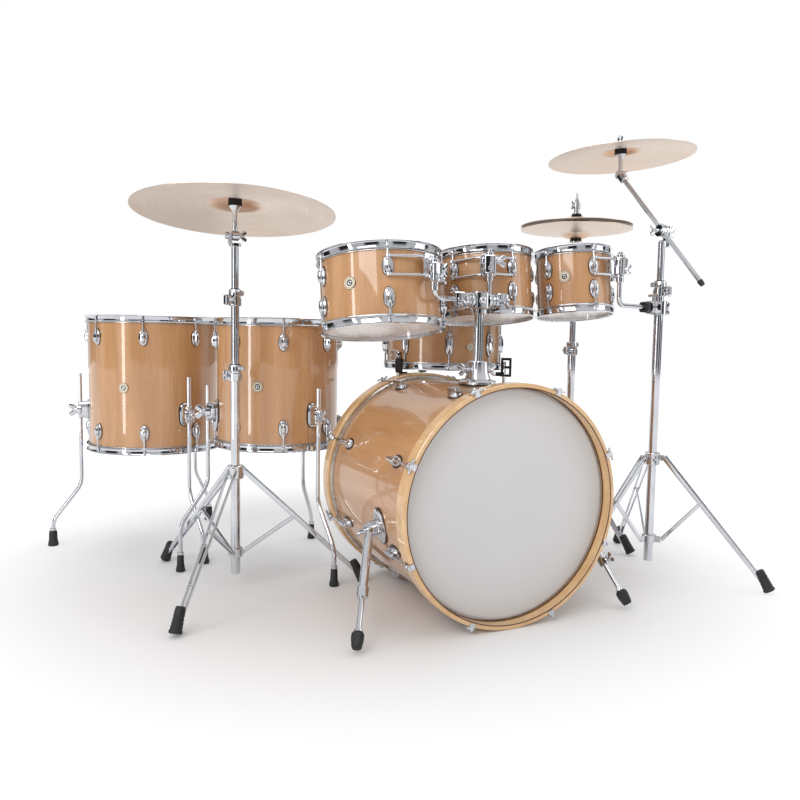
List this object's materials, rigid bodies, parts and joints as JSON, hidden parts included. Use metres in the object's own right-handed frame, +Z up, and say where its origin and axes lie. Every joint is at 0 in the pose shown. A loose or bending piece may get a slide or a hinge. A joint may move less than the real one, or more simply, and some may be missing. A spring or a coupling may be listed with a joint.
{
  "type": "acoustic drum kit",
  "caption": "Acoustic drum kit in lacquered maple: bass drum, rack toms, floor toms and snare on chromed hardware, with ride, crash and hi-hat cymbals on adjustable stands.",
  "frame": {"origin": "middle of the bounding box, on the floor", "axes": "+Z up, -Y towards the audience, where the bass drum's front head faces; +X towards the hi-hat side"},
  "size_m": [1.8288, 1.4404, 1.3083],
  "materials": {
    "shell_maple": "high-gloss clear lacquer on warm maple",
    "hoop_maple": "gloss lacquer on pale maple",
    "head_film": "smooth satin drumhead film",
    "chrome_plate": "mirror chrome plate",
    "cymbal_bronze": "lathed bronze",
    "cast_alloy": "ribbed satin casting",
    "black_rubber": "moulded matt rubber",
    "black_felt": "pressed felt"
  },
  "bodies": {
    "base": {"bass_shell": "shell_maple", "bass_front_hoop": "hoop_maple", "bass_front_head": "head_film", "bass_batter_hoop": "hoop_maple", "tom_holder_base": "chrome_plate", "floor16_shell": "shell_maple", "floor16_batter_hoop": "chrome_plate", "floor16_bottom_hoop": "chrome_plate", "floor14_shell": "shell_maple", "floor14_batter_hoop": "chrome_plate", "floor14_bottom_hoop": "chrome_plate", "ride_stand": "chrome_plate", "boom_base_tube": "chrome_plate", "snare_stand": "chrome_plate", "hihat_stand": "chrome_plate", "hihat_bottom_cymbal": "cymbal_bronze"},
    "tom_post": {"tom_holder_post": "chrome_plate"},
    "tom12_arm": {"tom12_arm": "chrome_plate"},
    "tom12": {"tom12_shell": "shell_maple", "tom12_batter_hoop": "chrome_plate", "tom12_bottom_hoop": "chrome_plate"},
    "tom10_arm": {"tom10_arm": "chrome_plate"},
    "tom10": {"tom10_shell": "shell_maple", "tom10_batter_hoop": "chrome_plate", "tom10_bottom_hoop": "chrome_plate"},
    "left_spur": {"bass_spur_left": "chrome_plate"},
    "right_spur": {"bass_spur_right": "chrome_plate"},
    "floor16_leg_1": {"floor16_leg_1": "chrome_plate"},
    "floor16_leg_2": {"floor16_leg_2": "chrome_plate"},
    "floor16_leg_3": {"floor16_leg_3": "chrome_plate"},
    "floor14_leg_1": {"floor14_leg_1": "chrome_plate"},
    "floor14_leg_2": {"floor14_leg_2": "chrome_plate"},
    "floor14_leg_3": {"floor14_leg_3": "chrome_plate"},
    "ride_middle": {"ride_middle_tube": "chrome_plate"},
    "ride_upper": {"ride_upper_tube": "chrome_plate"},
    "ride_tilter": {"ride_tilter": "chrome_plate"},
    "ride_cymbal": {"ride_cymbal": "cymbal_bronze"},
    "boom_collar": {"boom_leg_collar": "chrome_plate"},
    "boom_leg_1": {"boom_leg_1": "chrome_plate"},
    "boom_brace_1": {"boom_brace_1": "chrome_plate"},
    "boom_leg_2": {"boom_leg_2": "chrome_plate"},
    "boom_brace_2": {"boom_brace_2": "chrome_plate"},
    "boom_leg_3": {"boom_leg_3": "chrome_plate"},
    "boom_brace_3": {"boom_brace_3": "chrome_plate"},
    "boom_upper": {"boom_upper_tube": "chrome_plate"},
    "boom_arm": {"boom_arm": "chrome_plate"},
    "crash_cymbal": {"crash_cymbal": "cymbal_bronze"},
    "tom8_clamp": {"tom8_clamp": "chrome_plate"},
    "tom8_arm": {"tom8_arm": "chrome_plate"},
    "tom8": {"tom8_shell": "shell_maple", "tom8_batter_hoop": "chrome_plate", "tom8_bottom_hoop": "chrome_plate"},
    "snare": {"snare_basket": "chrome_plate", "snare_shell": "shell_maple", "snare_batter_hoop": "chrome_plate", "snare_bottom_hoop": "chrome_plate"},
    "throw_off": {"snare_throw_off": "chrome_plate"},
    "hihat_rod": {"hihat_rod": "chrome_plate", "hihat_top_cymbal": "cymbal_bronze"},
    "hihat_pedal": {"hihat_pedal": "cast_alloy"}
  },
  "joints": [
    {"name": "tom_post_slide", "type": "slide", "parent": "base", "child": "tom_post", "axis": [0, 0, 1], "range_m": [0, 0.08]},
    {"name": "tom12_tilt_hinge", "type": "hinge", "parent": "tom_post", "child": "tom12_arm", "pos_m": [0.04653, -0.45305, 0.78812], "axis": [1, 0, 0], "range_deg": [-5, 6]},
    {"name": "tom12_swivel_hinge", "type": "hinge", "parent": "tom12_arm", "child": "tom12", "pos_m": [-0.07047, -0.52605, 0.79912], "axis": [0, 0, 1], "range_deg": [0, 20]},
    {"name": "tom10_tilt_hinge", "type": "hinge", "parent": "tom_post", "child": "tom10_arm", "pos_m": [0.14653, -0.45305, 0.78812], "axis": [1, 0, 0], "range_deg": [-8, 2]},
    {"name": "tom10_swivel_hinge", "type": "hinge", "parent": "tom10_arm", "child": "tom10", "pos_m": [0.12453, -0.45305, 0.83412], "axis": [0, 0, 1], "range_deg": [0, 4]},
    {"name": "left_spur_hinge", "type": "hinge", "parent": "base", "child": "left_spur", "pos_m": [-0.20562, -0.47305, 0.2309], "axis": [-0.9781, 0, -0.208], "range_deg": [0, 45]},
    {"name": "right_spur_hinge", "type": "hinge", "parent": "base", "child": "right_spur", "pos_m": [0.39868, -0.47305, 0.2309], "axis": [-0.9781, 0, 0.208], "range_deg": [0, 45]},
    {"name": "floor16_leg_1_slide", "type": "slide", "parent": "base", "child": "floor16_leg_1", "axis": [0, 0, 1], "range_m": [0, 0.065]},
    {"name": "floor16_leg_2_slide", "type": "slide", "parent": "base", "child": "floor16_leg_2", "axis": [0, 0, 1], "range_m": [0, 0.065]},
    {"name": "floor16_leg_3_slide", "type": "slide", "parent": "base", "child": "floor16_leg_3", "axis": [0, 0, 1], "range_m": [0, 0.065]},
    {"name": "floor14_leg_1_slide", "type": "slide", "parent": "base", "child": "floor14_leg_1", "axis": [0, 0, 1], "range_m": [0, 0.065]},
    {"name": "floor14_leg_2_slide", "type": "slide", "parent": "base", "child": "floor14_leg_2", "axis": [0, 0, 1], "range_m": [0, 0.065]},
    {"name": "floor14_leg_3_slide", "type": "slide", "parent": "base", "child": "floor14_leg_3", "axis": [0, 0, 1], "range_m": [0, 0.065]},
    {"name": "ride_middle_slide", "type": "slide", "parent": "base", "child": "ride_middle", "axis": [0, 0, 1], "range_m": [0, 0.1]},
    {"name": "ride_upper_slide", "type": "slide", "parent": "ride_middle", "child": "ride_upper", "axis": [0, 0, 1], "range_m": [0, 0.08]},
    {"name": "ride_tilt_hinge", "type": "hinge", "parent": "ride_upper", "child": "ride_tilter", "pos_m": [-0.44447, -0.09805, 0.95212], "axis": [1, 0, 0], "range_deg": [-15, 15]},
    {"name": "ride_spin_axis", "type": "hinge", "parent": "ride_tilter", "child": "ride_cymbal", "pos_m": [-0.44447, -0.09805, 1.01212], "axis": [0.0448, 0.0876, 0.9952], "continuous": true},
    {"name": "boom_collar_slide", "type": "slide", "parent": "base", "child": "boom_collar", "axis": [0, 0, 1], "range_m": [0, 0.03]},
    {"name": "boom_leg_1_hinge", "type": "hinge", "parent": "boom_collar", "child": "boom_leg_1", "pos_m": [0.73466, -0.46189, 0.35212], "axis": [0.829, 0.5592, 0], "range_deg": [0, 9.75]},
    {"name": "boom_brace_1_hinge", "type": "hinge", "parent": "base", "child": "boom_brace_1", "pos_m": [0.73466, -0.46189, 0.10812], "axis": [0.829, 0.5592, 0], "range_deg": [-9.75, 0]},
    {"name": "boom_leg_2_hinge", "type": "hinge", "parent": "boom_collar", "child": "boom_leg_2", "pos_m": [0.73031, -0.39969, 0.35212], "axis": [-0.8988, 0.4384, 0], "range_deg": [0, 9.75]},
    {"name": "boom_brace_2_hinge", "type": "hinge", "parent": "base", "child": "boom_brace_2", "pos_m": [0.73031, -0.39969, 0.10812], "axis": [-0.8988, 0.4384, 0], "range_deg": [-9.75, 0]},
    {"name": "boom_leg_3_hinge", "type": "hinge", "parent": "boom_collar", "child": "boom_leg_3", "pos_m": [0.67862, -0.43456, 0.35212], "axis": [0.0698, -0.9976, 0], "range_deg": [0, 9.75]},
    {"name": "boom_brace_3_hinge", "type": "hinge", "parent": "base", "child": "boom_brace_3", "pos_m": [0.67862, -0.43456, 0.10812], "axis": [0.0698, -0.9976, 0], "range_deg": [-9.75, 0]},
    {"name": "boom_upper_slide", "type": "slide", "parent": "base", "child": "boom_upper", "axis": [0, 0, 1], "range_m": [0, 0.12]},
    {"name": "boom_tilt_hinge", "type": "hinge", "parent": "boom_upper", "child": "boom_arm", "pos_m": [0.71453, -0.43205, 1.01012], "axis": [1, 0, 0], "range_deg": [-8, 8]},
    {"name": "crash_spin_axis", "type": "hinge", "parent": "boom_arm", "child": "crash_cymbal", "pos_m": [0.68953, -0.27305, 1.24612], "axis": [-0.0569, 0.0269, 0.998], "continuous": true},
    {"name": "tom8_swing_hinge", "type": "hinge", "parent": "base", "child": "tom8_clamp", "pos_m": [0.71453, -0.43205, 0.78912], "axis": [0, 0, 1], "range_deg": [0, 20]},
    {"name": "tom8_tilt_hinge", "type": "hinge", "parent": "tom8_clamp", "child": "tom8_arm", "pos_m": [0.65657, -0.44755, 0.78912], "axis": [0.9661, 0.258, 0], "range_deg": [0, 10]},
    {"name": "tom8_swivel_hinge", "type": "hinge", "parent": "tom8_arm", "child": "tom8", "pos_m": [0.52013, -0.48405, 0.84912], "axis": [0, 0, 1], "range_deg": [-15, 0]},
    {"name": "snare_tilt_hinge", "type": "hinge", "parent": "base", "child": "snare", "pos_m": [0.25153, 0.02695, 0.50012], "axis": [1, 0, 0], "range_deg": [-10, 0]},
    {"name": "throw_off_hinge", "type": "hinge", "parent": "snare", "child": "throw_off", "pos_m": [0.45353, 0.02766, 0.64512], "axis": [0, 1, 0], "range_deg": [0, 80]},
    {"name": "hihat_pedal_hinge", "type": "hinge", "parent": "base", "child": "hihat_pedal", "pos_m": [0.48383, 0.14036, 0.01412], "axis": [0.788, 0.6157, 0], "range_deg": [0, 1.85], "stiffness_Nm_per_rad": 420, "springref_deg": -17.19},
    {"name": "hihat_rod_slide", "type": "slide", "parent": "base", "child": "hihat_rod", "axis": [0, 0, -1], "range_m": [0, 0.0088]}
  ],
  "couplings": [
    {"joint": "boom_leg_1_hinge", "follows": "boom_collar_slide", "rad_per_m": 5.5851},
    {"joint": "boom_brace_1_hinge", "follows": "boom_collar_slide", "rad_per_m": -5.5851},
    {"joint": "boom_leg_2_hinge", "follows": "boom_collar_slide", "rad_per_m": 5.5851},
    {"joint": "boom_brace_2_hinge", "follows": "boom_collar_slide", "rad_per_m": -5.5851},
    {"joint": "boom_leg_3_hinge", "follows": "boom_collar_slide", "rad_per_m": 5.5851},
    {"joint": "boom_brace_3_hinge", "follows": "boom_collar_slide", "rad_per_m": -5.5851},
    {"joint": "hihat_rod_slide", "follows": "hihat_pedal_hinge", "m_per_rad": 0.269}
  ]
}
